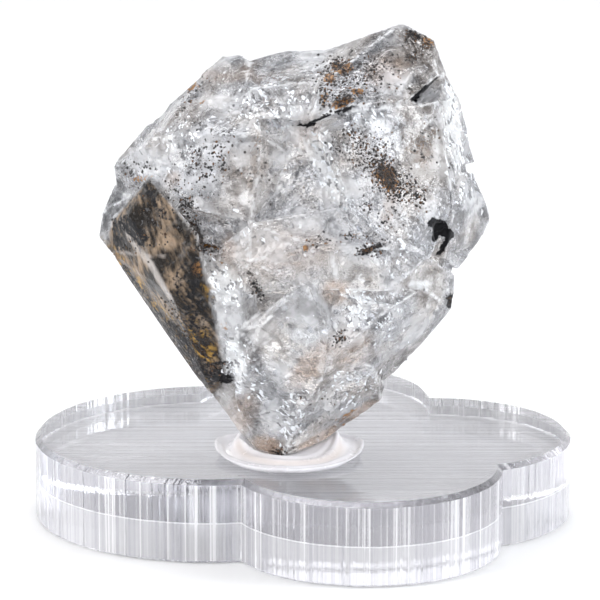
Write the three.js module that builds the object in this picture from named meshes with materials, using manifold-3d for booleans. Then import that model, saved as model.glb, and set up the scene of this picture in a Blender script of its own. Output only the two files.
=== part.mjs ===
// A rough quartz cluster held by a blob of clear putty on a four-lobed clear acrylic plate.
// Millimetres, +Z up. The origin is the middle of the plate's underside, and -Y is the front.
import * as THREE from "three";
import { ConvexGeometry } from "three/addons/geometries/ConvexGeometry.js";
import { mergeVertices } from "three/addons/utils/BufferGeometryUtils.js";
import Module from "manifold-3d";

const wasm = await Module();
wasm.setup();

// The plate: 15 mm cast acrylic sheet, cut as four overlapping round lobes of unequal size.
const PLATE_THICKNESS = 15;
const TOP_CHAMFER = 0.9;
const FOOT_CHAMFER = 0.4;
const LOBE_SEGMENTS = 96;
const LOBES = {
  left: { x: -16.3, y: -0.4, radius: 32.2 },
  right: { x: 24.0, y: -1.3, radius: 24.5 },
  front: { x: 11.2, y: -22.4, radius: 24.0 },
  back: { x: 1.6, y: 24.1, radius: 22.3 },
};

// The putty: a pressed skirt with lips at its sides, and a cup around the crystal's tip.
const PUTTY = { x: -2.4, y: -15.9, skirtRadius: 13.4, segments: 64 };
const PUTTY_SEAT_GAP = 0.05;
const LIP_START = 11.2;
const LIP_RISE = 1.3;
const FRONT_FALL = 0.8;
const SKIRT_TOP = 1.2;
const CRYSTAL_GAP = 0.3;

// The crystal's corners are given as they show from the front: across and up in the upright
// plane through the putty, and then how far behind (+) or before (-) that plane they lie,
// along the line of sight from the eye.
const EYE = new THREE.Vector3(-0.5, -700.8, 211.4);
const FRONT_PLANE_Y = PUTTY.y;

function corner([across, up, depth]) {
  const seen = new THREE.Vector3(across, FRONT_PLANE_Y, up);
  const reach = (FRONT_PLANE_Y + depth - EYE.y) / (FRONT_PLANE_Y - EYE.y);
  return seen.sub(EYE).multiplyScalar(reach).add(EYE);
}

function solid(geometry) {
  const bare = geometry.clone();
  bare.deleteAttribute("normal");
  bare.deleteAttribute("uv");
  const merged = mergeVertices(bare, 1e-3);
  const vertProperties = new Float32Array(merged.attributes.position.array);
  const triVerts = new Uint32Array(merged.index.array);
  return new wasm.Manifold(new wasm.Mesh({ numProp: 3, vertProperties, triVerts }));
}

function geometryOf(manifold) {
  const { numProp, vertProperties, triVerts } = manifold.getMesh();
  const places = [];
  for (let i = 0; i < vertProperties.length; i += numProp) {
    places.push(...vertProperties.subarray(i, i + 3));
  }
  const made = new THREE.BufferGeometry();
  made.setAttribute("position", new THREE.Float32BufferAttribute(places, 3));
  made.setIndex([...triVerts]);
  const flat = made.toNonIndexed();
  flat.computeVertexNormals();
  return flat;
}

function block(corners) {
  return solid(new ConvexGeometry(corners.map(corner)));
}

function join(solids) {
  return solids.reduce((whole, one) => whole.add(one));
}

// A lathe turns about Y in three.js, so each turned piece is laid over to turn about Z.
function turned(profile, segments) {
  const outline = profile.map(([radius, height]) => new THREE.Vector2(radius, height));
  return new THREE.LatheGeometry(outline, segments).rotateX(Math.PI / 2);
}

function lobe({ x, y, radius }) {
  const profile = [
    [0, 0],
    [radius - FOOT_CHAMFER, 0],
    [radius, FOOT_CHAMFER],
    [radius, PLATE_THICKNESS - TOP_CHAMFER],
    [radius - TOP_CHAMFER, PLATE_THICKNESS],
    [0, PLATE_THICKNESS],
  ];
  return solid(turned(profile, LOBE_SEGMENTS).translate(x, y, 0));
}

// The hidden middle that every outer block grows into.
const CORE = [
  [-20, 62, -12], [-20, 60, 12], [-6, 80, -9], [-4, 80, 10], [18, 82, -7], [18, 80, 9],
  [24, 62, -9], [24, 60, 10], [20, 44, -8], [19, 44, 9], [2, 24, -5], [0, 24, 5],
  [-14, 34, -7], [-14, 34, 7], [-2, 54, -19], [10, 58, -19], [0, 56, 19],
];

// The front of the crystal, block by block.
const UPPER_LEFT = [
  [-33.1, 67.1, -1], [-32.1, 68.8, 1], [-27.4, 74.3, 0], [-22.7, 78.7, 1], [-14.0, 86.7, 0],
  [-10.4, 87.1, 1], [-9.4, 85.9, -1], [-32.6, 61.5, 2], [-26.5, 72.0, -9], [-17.1, 77.0, -11],
  [-9.0, 79.0, -11], [-17.5, 73.0, -14], [-7.0, 72.5, -16], [-9.0, 57.0, -19], [-17.5, 59.0, -17],
  [-27.0, 64.5, -9], [0, 68, -12], [-12, 66, 14], [-26, 66, 12],
];
const TOP_CENTRE = [
  [-9.4, 85.9, 0], [-6.1, 86.9, -1], [-3.0, 87.6, 0], [0.7, 86.7, 1], [6.7, 88.1, 0],
  [3.0, 82.5, -11], [0.2, 75.0, -15], [-8.0, 75.5, -14], [-10.0, 81.0, -10], [6, 76, -12],
  [-6, 80, 14], [6, 80, 15],
];
const TOP_RIGHT = [
  [0.7, 86.7, 0], [6.7, 88.1, -1], [11.0, 89.3, 0], [16.6, 92.4, -2], [17.6, 92.4, -2],
  [22.6, 89.8, -1], [23.6, 85.7, 1], [25.3, 83.1, 1], [3.0, 82.0, -13], [1.0, 74.6, -17],
  [8.7, 78.0, -17], [18.6, 78.9, -13], [23.4, 83.3, -7], [12, 86, -9], [15, 74, 12], [8, 82, 12],
];
const RIGHT_EDGE = [
  [23.6, 85.7, 0], [25.3, 83.1, -1], [27.3, 79.0, -1], [27.5, 75.0, 0], [28.4, 71.5, -1],
  [30.1, 67.8, 1], [24.3, 80.5, -7], [24.3, 73.0, -9], [25.6, 66.5, -9], [16, 70, -8],
  [18, 78, 10], [22, 66, 12],
];
const RIGHT_POINT = [
  [29.9, 66.1, 0], [30.8, 62.0, -1], [32.3, 60.0, 0], [32.9, 57.6, 1], [31.6, 54.8, 0],
  [29.9, 52.4, -1], [27.3, 48.6, 0], [25.6, 66.5, -9], [26.3, 58.5, -10], [25.0, 50.5, -8],
  [16, 60, -8], [18, 50, -6], [22, 62, 11], [22, 50, 10],
];
const SPECKLED_FACE = [
  [2.2, 73.6, -19], [9.0, 77.2, -17], [18.6, 78.0, -12], [24.2, 79.0, -7], [25.5, 66.5, -11],
  [26.0, 58.8, -12], [22.3, 50.0, -18], [15.3, 53.0, -22], [8.0, 58.8, -23], [4.8, 66.0, -22],
  [10, 60, -8], [20, 70, 4],
];
const WAIST = [
  [-9.3, 57.0, -20], [-9.3, 50.0, -22], [0.6, 53.5, -24], [0.2, 45.0, -23], [12.1, 53.0, -23],
  [15.0, 44.5, -21], [22.0, 51.0, -16], [26.8, 47.8, -2], [26.7, 44.9, -1], [6.0, 60.0, -20],
  [-16.0, 52.0, -16], [-14.0, 44.0, -15], [20, 46, 8], [0, 58, 4], [-10, 46, 4],
];
const LOWER_RIGHT = [
  [6.3, 44.0, -22.5], [15.8, 41.8, -20.5], [21.3, 45.4, -15], [26.7, 44.9, 0], [26.2, 41.5, -1],
  [24.3, 39.7, 0], [21.6, 36.8, -1], [19.6, 33.6, -1], [16.6, 30.2, 0], [14.9, 28.7, -1],
  [13.0, 33.5, -14], [5.5, 33.0, -20], [4, 26, -8], [4, 44, -6], [14, 42, 12], [6, 30, 10],
];
const FOOT = [
  [14.6, 27.7, 0], [14.1, 25.0, -1], [12.4, 23.6, 0], [9.9, 22.1, -1], [6.5, 19.8, 0],
  [3.7, 17.2, -3], [-0.3, 15.6, -5], [-3.4, 14.6, -6], [-5.7, 14.7, -5.5], [-8.2, 15.6, -4],
  [-9.3, 16.6, -2], [-11.0, 18.6, 0], [-13.3, 21.8, 1], [-16.1, 25.9, 0], [4.0, 33.0, -18],
  [12.5, 31.0, -11], [-12.5, 31.0, -11], [-3, 20, 5], [-12, 30, 7], [8, 30, 8], [0, 36, -6],
];
const POINTED_BLOCK = [
  [0.2, 46.6, -25], [-7.2, 38.5, -22], [-11.9, 37.7, -17], [-12.3, 24.5, -10], [-9.0, 18.5, -5],
  [-3.3, 17.1, -6], [4.6, 37.5, -23], [4.1, 30.0, -19], [1.5, 20.5, -7], [6.5, 41.5, -19],
  [0, 40, -6], [-6, 26, -2],
];
const MILKY_BLOCK = [
  [-18.0, 51.5, -18], [-9.6, 52.5, -21.5], [-8.0, 47.5, -21], [-7.6, 40.0, -19], [-12.4, 37.7, -17.5],
  [-15.6, 39.5, -16.5], [-14.0, 29.0, -12], [-10.0, 31.0, -11], [-10, 46, -6], [-16, 44, -4],
];
// The smoky crystal: a long prism with a low point, lying down the left edge.
const SMOKY_PRISM = [
  [-26.8, 65.1, -11], [-33.4, 57.2, -4], [-30.6, 58.4, -9.5], [-24.0, 61.9, -14.5],
  [-33.4, 51.5, -2], [-32.3, 49.8, -1], [-29.3, 45.2, 0], [-26.6, 40.9, -1], [-23.5, 36.3, 0],
  [-21.6, 33.8, -1], [-18.9, 29.4, 0], [-16.1, 25.9, -1], [-18.3, 55.2, -18.5], [-23.0, 44.0, -18],
  [-15.3, 39.2, -17], [-14.4, 29.5, -12], [-17.5, 29.5, -9], [-20, 58, 2], [-12, 34, 2],
];
// The little clear crystal behind the smoky one.
const LEFT_LEDGE = [
  [-35.8, 54.5, 2], [-35.2, 58.9, 1], [-32.8, 61.2, 2], [-32.9, 64.1, 3], [-33.4, 51.3, 2],
  [-30, 62, -2], [-28, 50, 3], [-33.8, 56.5, 7], [-26, 64, 10], [-24, 52, 8],
];

// The back of the crystal, broken across in a few large breaks.
const BACK_UPPER = [
  [-30.5, 67.0, 4], [-25.0, 75.5, 5], [-12.5, 85.8, 4], [-5.0, 85.4, 8], [-2.0, 72.0, 22],
  [-17.0, 70.0, 17], [-20.0, 58.0, 16], [-30.0, 58.0, 7], [-4, 60, 10],
];
const BACK_TOP = [
  [-7.0, 85.5, 3], [2.0, 86.0, 5], [14.0, 90.0, 4], [21.5, 87.5, 4], [24.0, 81.0, 6],
  [12.0, 80.5, 17], [-1.0, 78.5, 19], [16.0, 68.0, 19], [2.0, 66.0, 21], [4, 70, 2],
];
const BACK_RIGHT = [
  [26.0, 78.0, 4], [28.5, 67.0, 5], [30.8, 58.5, 5], [27.0, 50.0, 6], [18.0, 72.0, 16],
  [20.5, 58.0, 17], [13.0, 46.0, 18], [8, 60, 8], [4.0, 60.0, 24],
];
const BACK_LOWER = [
  [25.0, 44.0, 4], [20.0, 35.0, 4], [13.0, 27.0, 4], [15.0, 50.0, 17], [9.0, 36.0, 15],
  [-6.0, 50.0, 24], [-8.0, 36.0, 15], [4.0, 22.0, 6], [-1.0, 62.0, 23], [0, 40, 0],
];
const BACK_LEFT = [
  [-31.0, 52.0, 4], [-27.0, 44.0, 4], [-20.5, 34.0, 4], [-14.0, 26.0, 5], [-24.0, 58.0, 13],
  [-15.0, 50.0, 20], [-14.0, 38.0, 15], [-7.0, 27.0, 9], [-6, 46, 6], [-8.0, 60.0, 20],
];

// What is broken out of it: two open cracks near the top, and a dark angular pit at the right.
const TOP_CRACK = [
  [-0.4, 74.2, -26], [9.2, 77.4, -26], [9.0, 78.5, -26], [-0.2, 74.7, -26], [4.0, 76.6, -12],
  [3.6, 76.0, -12],
];
const CORNER_CRACK = [
  [18.2, 78.1, -22], [24.6, 83.0, -18], [24.2, 83.9, -18], [18.2, 78.5, -22], [22.0, 81.6, -5],
];
const PIT = [
  [22.3, 57.9, -20], [25.4, 58.3, -20], [26.2, 54.8, -18], [24.2, 50.8, -20], [22.7, 53.5, -20],
  [23.6, 56.0, -8.5], [24.6, 54.6, -8.5],
];

function crystal() {
  const blocks = [
    CORE, UPPER_LEFT, TOP_CENTRE, TOP_RIGHT, RIGHT_EDGE, RIGHT_POINT, SPECKLED_FACE, WAIST,
    LOWER_RIGHT, FOOT, POINTED_BLOCK, MILKY_BLOCK, SMOKY_PRISM, LEFT_LEDGE, BACK_UPPER,
    BACK_TOP, BACK_RIGHT, BACK_LOWER, BACK_LEFT,
  ];
  const breaks = [TOP_CRACK, CORNER_CRACK, PIT];
  return breaks.reduce((whole, one) => whole.subtract(block(one)), join(blocks.map(block)));
}

// The cup is pressed low at the front, where the crystal's tip shows down to the skirt.
function lowerFront(geometry) {
  const place = geometry.attributes.position;
  for (let i = 0; i < place.count; i += 1) {
    const forward = THREE.MathUtils.smoothstep(-place.getY(i), -2, 7);
    const above = Math.max(place.getZ(i) - SKIRT_TOP, 0);
    place.setZ(i, place.getZ(i) - above * FRONT_FALL * forward);
  }
  return geometry;
}

// The skirt's lip rises at the two sides and dies out at the front and back.
function liftLips(geometry) {
  const place = geometry.attributes.position;
  for (let i = 0; i < place.count; i += 1) {
    const radius = Math.hypot(place.getX(i), place.getY(i));
    const sideways = radius > 0 ? (place.getX(i) / radius) ** 2 : 0;
    const outward = THREE.MathUtils.smoothstep(radius, LIP_START, PUTTY.skirtRadius);
    if (place.getZ(i) > 0) {
      place.setZ(i, place.getZ(i) + LIP_RISE * sideways ** 2 * outward);
    }
  }
  return geometry;
}

function putty(crystalSolid) {
  const profile = [
    [0, 0],
    [12.6, 0],
    [13.2, 0.35],
    [PUTTY.skirtRadius, 0.8],
    [13.1, 1.15],
    [12.2, 1.2],
    [11.0, 1.35],
    [10.3, 1.8],
    [9.9, 2.8],
    [9.2, 3.9],
    [8.3, 4.4],
    [7.4, 4.1],
    [6.4, 3.4],
    [4.0, 2.8],
    [0, 2.6],
  ];
  const blob = lowerFront(liftLips(turned(profile, PUTTY.segments)));
  const seat = PLATE_THICKNESS + PUTTY_SEAT_GAP;
  let cup = solid(blob.translate(PUTTY.x, PUTTY.y, seat));
  const sides = [
    [0, 0, -1],
    [1, 0, 0],
    [-1, 0, 0],
    [0, 1, 0],
    [0, -1, 0],
  ];
  for (const side of sides) {
    cup = cup.subtract(crystalSolid.translate(side.map((way) => way * CRYSTAL_GAP)));
  }
  return cup;
}

function piece(name, manifold, colour, roughness) {
  const material = new THREE.MeshStandardMaterial({ color: colour, roughness, metalness: 0 });
  const mesh = new THREE.Mesh(geometryOf(manifold), material);
  mesh.name = name;
  return mesh;
}

const crystalSolid = crystal();
const group = new THREE.Group();
group.add(piece("acrylic_stand", join(Object.values(LOBES).map(lobe)), 0xdde0e6, 0.04));
group.add(piece("putty_mount", putty(crystalSolid), 0xf2f0f4, 0.35));
group.add(piece("quartz_crystal", crystalSolid, 0xc9c7c6, 0.2));

export default group;
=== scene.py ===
# %% [markdown]
# # A rough quartz cluster on a clear stand
# The object is a broken quartz cluster that stands on its tip in a blob of clear putty, on a
# four-lobed plate of clear acrylic. Nearly all of it is see-through, so its look comes from what
# light does inside it: the order here is camera, light, then one piece after another.

import math

import bmesh
import bpy
import numpy as np
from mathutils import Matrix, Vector
from mathutils.bvhtree import BVHTree
from mathutils.kdtree import KDTree


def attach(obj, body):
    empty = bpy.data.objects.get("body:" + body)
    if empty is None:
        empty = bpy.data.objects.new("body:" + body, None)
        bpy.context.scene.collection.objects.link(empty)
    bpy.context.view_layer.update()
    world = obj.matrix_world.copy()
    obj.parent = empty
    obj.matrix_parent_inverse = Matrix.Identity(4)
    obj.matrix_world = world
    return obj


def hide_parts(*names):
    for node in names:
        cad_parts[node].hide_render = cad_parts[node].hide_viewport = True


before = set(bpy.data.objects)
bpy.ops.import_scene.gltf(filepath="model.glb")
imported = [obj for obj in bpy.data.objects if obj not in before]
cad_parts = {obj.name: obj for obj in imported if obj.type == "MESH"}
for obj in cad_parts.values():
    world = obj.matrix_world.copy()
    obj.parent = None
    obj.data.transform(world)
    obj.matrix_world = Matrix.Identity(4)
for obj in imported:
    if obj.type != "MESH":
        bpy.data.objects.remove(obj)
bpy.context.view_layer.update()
MM = 0.001

# %% [markdown]
# ## Camera
# A product photo of a small specimen is taken from some way off with a long lens, which keeps
# the plate's far lobes nearly as large as its near ones. The eye's place and tilt were worked out
# from the plate's rims, so the crystal's corners fall where they should.

# %% Camera
EYE = Vector((-0.5, -700.8, 211.4)) * MM
EYE_TILT = math.radians(13.8)
LENS = 240.9

camera_data = bpy.data.cameras.new("camera")
camera_data.lens = LENS
camera_data.sensor_width = 36.0
camera_data.clip_end = 20.0
camera = bpy.data.objects.new("camera", camera_data)
camera.location = EYE
camera.rotation_euler = (math.pi / 2 - EYE_TILT, 0, 0)
bpy.context.scene.collection.objects.link(camera)
bpy.context.scene.camera = camera
print("camera at", [round(value, 3) for value in camera.location])

# %% [markdown]
# ## Short ways to make nodes and meshes
# Every material, the room and two of the shapes are node trees, so a few helpers add a node, fill
# its inputs and link it in one call.

# %% Helpers for nodes and meshes
def node(tree, kind, inputs=None, **settings):
    """Adds a node, sets its options, and sets or links its inputs by name or number."""
    made = tree.nodes.new(kind)
    for option, value in settings.items():
        setattr(made, option, value)
    for key, value in (inputs or {}).items():
        socket = made.inputs[key]
        if isinstance(value, bpy.types.NodeSocket):
            tree.links.new(value, socket)
        else:
            socket.default_value = value
    return made


def calc(tree, operation, *values):
    made = node(tree, "ShaderNodeMath", dict(enumerate(values)), operation=operation)
    return made.outputs[0]


def new_material(name):
    """An empty node material with its output, as (material, tree, output)."""
    material = bpy.data.materials.new(name)
    material.use_nodes = True
    tree = material.node_tree
    tree.nodes.clear()
    return material, tree, tree.nodes.new("ShaderNodeOutputMaterial")


def mesh_object(name, vertices, faces):
    mesh = bpy.data.meshes.new(name)
    mesh.from_pydata([tuple(v) for v in vertices], [], [tuple(f) for f in faces])
    mesh.update()
    made = bpy.data.objects.new(name, mesh)
    bpy.context.scene.collection.objects.link(made)
    return made


# %% [markdown]
# ## Floor
# Clear things show what is round them, so a wide white floor takes the place of the paper under
# the stand. It lies a hair below the plate: light then leaves the acrylic into air, and the plate's
# underside throws part of it back as a real one does.

# %% Floor
FLOOR_HALF = 6.0
AIR_GAP = 0.1 * MM  # the film of air under the plate, which lets light through to the floor
floor = mesh_object(
    "floor",
    [(-FLOOR_HALF, -FLOOR_HALF, -AIR_GAP), (FLOOR_HALF, -FLOOR_HALF, -AIR_GAP),
     (FLOOR_HALF, FLOOR_HALF, -AIR_GAP), (-FLOOR_HALF, FLOOR_HALF, -AIR_GAP)],
    [(0, 1, 2, 3)],
)
paper, paper_tree, paper_out = new_material("white_paper")
paper_shader = node(paper_tree, "ShaderNodeBsdfPrincipled",
                    {"Base Color": (0.93, 0.93, 0.93, 1), "Roughness": 0.8})
paper_tree.links.new(paper_shader.outputs[0], paper_out.inputs["Surface"])
floor.data.materials.append(paper)
print("floor", 2 * FLOOR_HALF, "m wide")

# %% [markdown]
# ## Lamps
# Broken quartz sparkles because its faces catch different lamps. Five large soft ones stand round
# the object as in a light tent: none of them is small enough to burn a hard spot into the plate.

# %% Lamps
def soft_lamp(name, place, aim, size, watts, colour=(1, 1, 1)):
    data = bpy.data.lights.new(name, "AREA")
    data.shape = "RECTANGLE"
    data.size, data.size_y = size
    data.energy = watts
    data.color = colour
    lamp = bpy.data.objects.new(name, data)
    lamp.location = place
    lamp.rotation_euler = (Vector(aim) - Vector(place)).to_track_quat("-Z", "Y").to_euler()
    bpy.context.scene.collection.objects.link(lamp)
    print(name, watts, "W")


soft_lamp("lamp_left", (-0.55, -0.25, 0.42), (0, 0, 0.05), (0.35, 0.5), 2.2)
soft_lamp("lamp_right", (0.6, -0.1, 0.35), (0, 0, 0.05), (0.25, 0.5), 2.1, (0.9, 0.95, 1.0))
soft_lamp("lamp_top", (0.0, 0.1, 0.75), (0, 0, 0.03), (0.5, 0.35), 2.0)
soft_lamp("lamp_front", (0.1, -0.85, 0.6), (0, 0, 0.05), (0.5, 0.25), 2.2)
soft_lamp("lamp_back", (0.05, 0.8, 0.5), (0, 0, 0.05), (0.9, 0.4), 1.6)

# %% [markdown]
# ## Room
# The room is white near the horizon and grey above, with lighter walls at both sides: the grey
# draws the edges of clear faces. A look that meets nothing sees plain white, since the photo's
# ground runs out into white, while light and reflections still come from the grey room.

# %% Room and light paths
WHITE_BELOW, GREY_ABOVE = 0.10, 0.42  # heights on a ball of radius 1 round the object
SIDES_START, SIDES_FULL = 0.3, 0.62  # how far to the side, on the same ball
CLEAR_BOUNCES = 8  # light crosses many faces inside clear things
DIFFUSE_BOUNCES = 2

room = bpy.data.worlds.new("room")
bpy.context.scene.world = room
room.use_nodes = True
room.node_tree.nodes.clear()
room_way = node(room.node_tree, "ShaderNodeTexCoord")
room_parts = node(room.node_tree, "ShaderNodeSeparateXYZ", {0: room_way.outputs["Generated"]})
room_ramp = node(room.node_tree, "ShaderNodeValToRGB", {0: room_parts.outputs["Z"]})
room_ramp.color_ramp.elements[0].position = WHITE_BELOW
room_ramp.color_ramp.elements[0].color = (1.0, 1.0, 1.0, 1)
room_ramp.color_ramp.elements[1].position = GREY_ABOVE
room_ramp.color_ramp.elements[1].color = (0.25, 0.25, 0.27, 1)
room_side = node(room.node_tree, "ShaderNodeMapRange",
                 {"Value": calc(room.node_tree, "ABSOLUTE", room_parts.outputs["X"]),
                  "From Min": SIDES_START, "From Max": SIDES_FULL, "To Max": 0.75},
                 interpolation_type="SMOOTHSTEP")
room_tone = node(room.node_tree, "ShaderNodeMix",
                 {0: room_side.outputs[0], 6: room_ramp.outputs[0], 7: (1.05, 1.05, 1.07, 1)},
                 data_type="RGBA")
room_light = node(room.node_tree, "ShaderNodeBackground", {"Color": room_tone.outputs[2], "Strength": 0.95})
room_seen = node(room.node_tree, "ShaderNodeBackground", {"Color": (1, 1, 1, 1), "Strength": 1.0})
room_ray = node(room.node_tree, "ShaderNodeLightPath")
room_both = node(room.node_tree, "ShaderNodeMixShader",
                 {0: room_ray.outputs["Is Camera Ray"], 1: room_light.outputs[0], 2: room_seen.outputs[0]})
node(room.node_tree, "ShaderNodeOutputWorld", {"Surface": room_both.outputs[0]})
bpy.context.scene.view_settings.view_transform = "Standard"
bpy.context.scene.view_settings.look = "None"
bpy.context.scene.cycles.max_bounces = CLEAR_BOUNCES
bpy.context.scene.cycles.transmission_bounces = CLEAR_BOUNCES
bpy.context.scene.cycles.glossy_bounces = CLEAR_BOUNCES  # total reflection inside counts as glossy
bpy.context.scene.cycles.diffuse_bounces = DIFFUSE_BOUNCES
print("room of", len(room.node_tree.nodes), "nodes")

# %% [markdown]
# ## Growing shapes with Geometry Nodes
# The plate, the specks and the cracks are each grown by a node tree with named inputs, so that a
# radius or a size can be changed later without touching the mesh. Two helpers start such a tree
# and turn what it makes into a plain object.

# %% A small kit for Geometry Nodes
def start_tree(name, inputs):
    """A geometry tree with a Geometry input and the named inputs, as (tree, in, out)."""
    tree = bpy.data.node_groups.new(name, "GeometryNodeTree")
    tree.interface.new_socket("Geometry", in_out="INPUT", socket_type="NodeSocketGeometry")
    for title, kind, value in inputs:
        socket = tree.interface.new_socket(title, in_out="INPUT", socket_type="NodeSocket" + kind)
        if value is not None:
            socket.default_value = value
    tree.interface.new_socket("Geometry", in_out="OUTPUT", socket_type="NodeSocketGeometry")
    return tree, tree.nodes.new("NodeGroupInput"), tree.nodes.new("NodeGroupOutput")


def grown(tree, carrier, values, name):
    """Runs a geometry tree on a carrier object and returns the result as a plain object."""
    modifier = carrier.modifiers.new("build", "NODES")
    modifier.node_group = tree
    for item in tree.interface.items_tree:
        if item.item_type == "SOCKET" and item.in_out == "INPUT" and item.name in values:
            modifier[item.identifier] = values[item.name]
    depsgraph = bpy.context.evaluated_depsgraph_get()
    mesh = bpy.data.meshes.new_from_object(carrier.evaluated_get(depsgraph))
    carrier.modifiers.remove(modifier)
    made = bpy.data.objects.new(name, mesh)
    bpy.context.scene.collection.objects.link(made)
    return made


# %% [markdown]
# ## The plate
# The plate is a slice of thick clear sheet, cut round four overlapping circles by a machine that
# left upright marks all along the edge. Its outline is a rule: in any direction from the middle,
# it is the furthest point of the four circles. Geometry Nodes bend a grid to that rule: across
# the grid runs the angle, up the grid runs the section with its two chamfers, and each column gets
# its own small random cut, which makes the flat upright marks.

# %% The plate's tree
PLATE_THICKNESS = 15.0 * MM
TOP_CHAMFER = 0.9 * MM
FOOT_CHAMFER = 0.4 * MM
PLATE_MIDDLE = (2.0 * MM, -1.0 * MM)
LOBES = {  # x, y and radius of each round lobe
    "Left Lobe": (-16.3 * MM, -0.4 * MM, 32.2 * MM),
    "Right Lobe": (24.0 * MM, -1.3 * MM, 24.5 * MM),
    "Front Lobe": (11.2 * MM, -22.4 * MM, 24.0 * MM),
    "Back Lobe": (1.6 * MM, 24.1 * MM, 22.3 * MM),
}
SECTION_ROWS = 5  # foot middle, foot edge, wall foot, wall top, top edge, top middle
MARK_SIZES = ((1, 0.45, 0), (3, 0.75, 7), (11, 1.0, 13))  # columns wide, share of the depth, seed


def plate_tree(material):
    inputs = [("Columns", "Int", 700), ("Thickness", "Float", PLATE_THICKNESS),
              ("Top Chamfer", "Float", TOP_CHAMFER), ("Foot Chamfer", "Float", FOOT_CHAMFER),
              ("Mark Depth", "Float", 0.09 * MM), ("Seed", "Int", 4)]
    inputs += [(name, "Vector", place) for name, place in LOBES.items()]
    tree, start, end = start_tree("lobed_plate", inputs)
    take = start.outputs
    columns = calc(tree, "ADD", take["Columns"], 1.0)
    grid = node(tree, "GeometryNodeMeshGrid",
                {"Size X": 1.0, "Size Y": 1.0, "Vertices X": columns, "Vertices Y": SECTION_ROWS + 1})
    place = node(tree, "ShaderNodeSeparateXYZ", {0: node(tree, "GeometryNodeInputPosition").outputs[0]})
    along = calc(tree, "ADD", place.outputs["X"], 0.5)
    up_grid = calc(tree, "MULTIPLY_ADD", place.outputs["Y"], SECTION_ROWS, SECTION_ROWS / 2)
    row = calc(tree, "ROUND", up_grid)
    column = calc(tree, "MODULO", calc(tree, "ROUND", calc(tree, "MULTIPLY", along, take["Columns"])),
                  take["Columns"])
    angle = calc(tree, "MULTIPLY", along, math.tau)
    east, north = calc(tree, "COSINE", angle), calc(tree, "SINE", angle)

    def on_row(number):
        return calc(tree, "COMPARE", row, float(number), 0.1)

    def products(a, b, c, d):
        return calc(tree, "ADD", calc(tree, "MULTIPLY", a, b), calc(tree, "MULTIPLY", c, d))

    inset = products(on_row(1), take["Foot Chamfer"], on_row(4), take["Top Chamfer"])
    reach = None
    for name in LOBES:
        parts = node(tree, "ShaderNodeSeparateXYZ", {0: take[name]})
        lobe_x = calc(tree, "SUBTRACT", parts.outputs["X"], PLATE_MIDDLE[0])
        lobe_y = calc(tree, "SUBTRACT", parts.outputs["Y"], PLATE_MIDDLE[1])
        radius = calc(tree, "SUBTRACT", parts.outputs["Z"], inset)
        ahead = products(lobe_x, east, lobe_y, north)
        far2 = products(lobe_x, lobe_x, lobe_y, lobe_y)
        left2 = calc(tree, "SUBTRACT", products(ahead, ahead, radius, radius), far2)
        hit = calc(tree, "GREATER_THAN", left2, 0.0)
        edge = calc(tree, "ADD", ahead, calc(tree, "SQRT", calc(tree, "MAXIMUM", left2, 0.0)))
        edge = calc(tree, "MULTIPLY", edge, hit)
        reach = edge if reach is None else calc(tree, "MAXIMUM", reach, edge)
    cut = None
    for group, share, shift in MARK_SIZES:
        band = calc(tree, "FLOOR", calc(tree, "DIVIDE", column, float(group)))
        seed = calc(tree, "ADD", take["Seed"], shift)
        chance = node(tree, "FunctionNodeRandomValue", {"ID": band, "Seed": seed}, data_type="FLOAT")
        depth = calc(tree, "MULTIPLY", calc(tree, "MULTIPLY", chance.outputs[1], take["Mark Depth"]), share)
        cut = depth if cut is None else calc(tree, "ADD", cut, depth)
    open_row = calc(tree, "SUBTRACT", calc(tree, "SUBTRACT", 1.0, on_row(0)), on_row(SECTION_ROWS))
    radius = calc(tree, "MULTIPLY", calc(tree, "SUBTRACT", reach, cut), open_row)
    wall_top = calc(tree, "SUBTRACT", take["Thickness"], take["Top Chamfer"])
    height = products(on_row(2), take["Foot Chamfer"], on_row(3), wall_top)
    upper = calc(tree, "GREATER_THAN", row, 3.5)
    height = calc(tree, "ADD", height, calc(tree, "MULTIPLY", upper, take["Thickness"]))
    spot = node(tree, "ShaderNodeCombineXYZ",
                {"X": calc(tree, "MULTIPLY_ADD", radius, east, PLATE_MIDDLE[0]),
                 "Y": calc(tree, "MULTIPLY_ADD", radius, north, PLATE_MIDDLE[1]), "Z": height})
    bent = node(tree, "GeometryNodeSetPosition", {"Geometry": grid.outputs[0], "Position": spot.outputs[0]})
    closed = node(tree, "GeometryNodeMergeByDistance", {"Geometry": bent.outputs[0], "Distance": 1e-6})
    real = node(tree, "GeometryNodeRealizeInstances", {"Geometry": closed.outputs[0]})
    dressed = node(tree, "GeometryNodeSetMaterial", {"Geometry": real.outputs[0], "Material": material})
    tree.links.new(dressed.outputs[0], end.inputs[0])
    return tree


# %% [markdown]
# ### Clear acrylic
# Acrylic is a plain clear plastic: full transmission, an index of 1.49 and a very faint cool
# absorption. Its polished faces carry fine straight polishing lines, which show as thin streaks
# in what is seen through them, so a stretched noise tilts the surface by a hair. The sawn wall was
# cut in two passes: upright saw marks make frosted strips, and the grey strips beside them are
# painted shade for the darker view through the wall. The lower pass is more frosted than the
# upper one, and a thin line is left where they meet.

# %% Clear acrylic
SECOND_CUT = 7.2 * MM  # how high the lower pass reaches
SEAM_HALF = 0.12 * MM
WALL_SLOPE = 0.3  # a face whose normal rises less than this is wall and not chamfer
FROST_LOSS = 0.65  # how much of its light a fully frosted strip stops


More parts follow.
